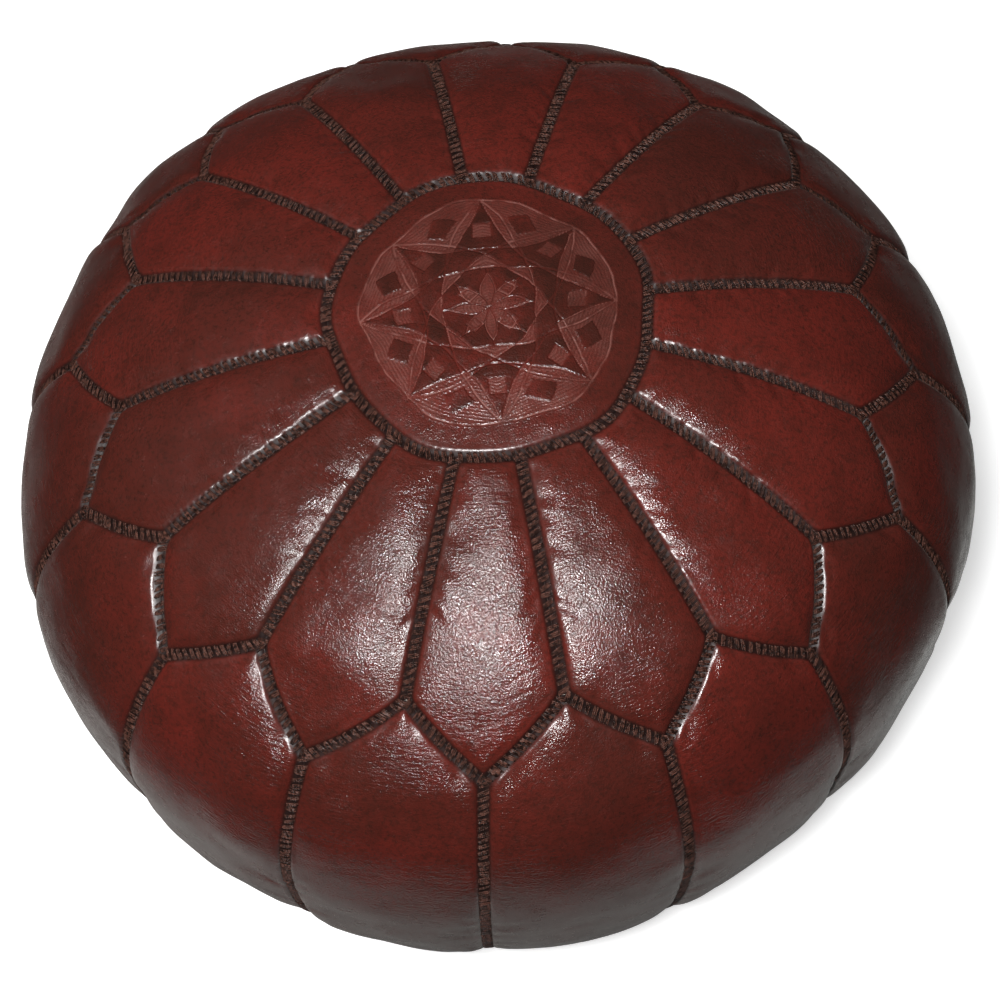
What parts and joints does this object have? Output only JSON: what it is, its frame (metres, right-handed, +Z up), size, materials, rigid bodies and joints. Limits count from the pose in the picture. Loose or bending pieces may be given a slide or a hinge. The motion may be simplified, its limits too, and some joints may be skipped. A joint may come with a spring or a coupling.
{
  "type": "leather floor pouf",
  "caption": "Round stuffed leather floor pouf: petal panels whip-stitched round an embossed medallion, pointed side panels below them, and a zip in the base.",
  "frame": {"origin": "on the floor under the middle of the base", "axes": "+Z up through the middle of the medallion, +X along the zip towards its closed end"},
  "size_m": [0.55, 0.55, 0.335],
  "materials": {
    "leather": "deep burgundy-brown, waxed and glossy, mottled",
    "thread": "dark brown waxed cord, whip-stitched",
    "wadding": "matte off-white wadding",
    "zip_tape": "matte dark brown woven tape",
    "zip_metal": "satin antique brass"
  },
  "bodies": {
    "root": {"medallion": "leather", "petal_01": "leather", "petal_02": "leather", "petal_03": "leather", "petal_04": "leather", "petal_05": "leather", "petal_06": "leather", "petal_07": "leather", "petal_08": "leather", "petal_09": "leather", "petal_10": "leather", "petal_11": "leather", "petal_12": "leather", "petal_13": "leather", "petal_14": "leather", "petal_15": "leather", "petal_16": "leather", "side_panel_01": "leather", "side_panel_02": "leather", "side_panel_03": "leather", "side_panel_04": "leather", "side_panel_05": "leather", "side_panel_06": "leather", "side_panel_07": "leather", "side_panel_08": "leather", "side_panel_09": "leather", "side_panel_10": "leather", "side_panel_11": "leather", "side_panel_12": "leather", "side_panel_13": "leather", "side_panel_14": "leather", "side_panel_15": "leather", "side_panel_16": "leather", "base_half_back": "leather", "base_half_front": "leather", "medallion_seam_thread": "thread", "petal_seam_thread": "thread", "side_seam_thread": "thread", "base_end_seam_thread_left": "thread", "base_end_seam_thread_right": "thread", "zip_stitching_back": "thread", "zip_stitching_front": "thread", "stuffing": "wadding", "zip_tape_back": "zip_tape", "zip_tape_front": "zip_tape", "zip_teeth_back": "zip_metal", "zip_teeth_front": "zip_metal", "zip_top_stop_back": "zip_metal", "zip_top_stop_front": "zip_metal", "zip_bottom_stop": "zip_metal"},
    "zip_slider": {"zip_slider": "zip_metal"},
    "pull_tab": {"zip_pull_tab": "zip_metal"}
  },
  "joints": [
    {"name": "zip_slider_travel", "type": "slide", "parent": "root", "child": "zip_slider", "axis": [-1, 0, 0], "range_m": [0, 0.2]},
    {"name": "pull_tab_swing", "type": "hinge", "parent": "zip_slider", "child": "pull_tab", "pos_m": [0.1, 0, 0.0086], "axis": [0, -1, 0], "range_deg": [-6, 160]}
  ]
}
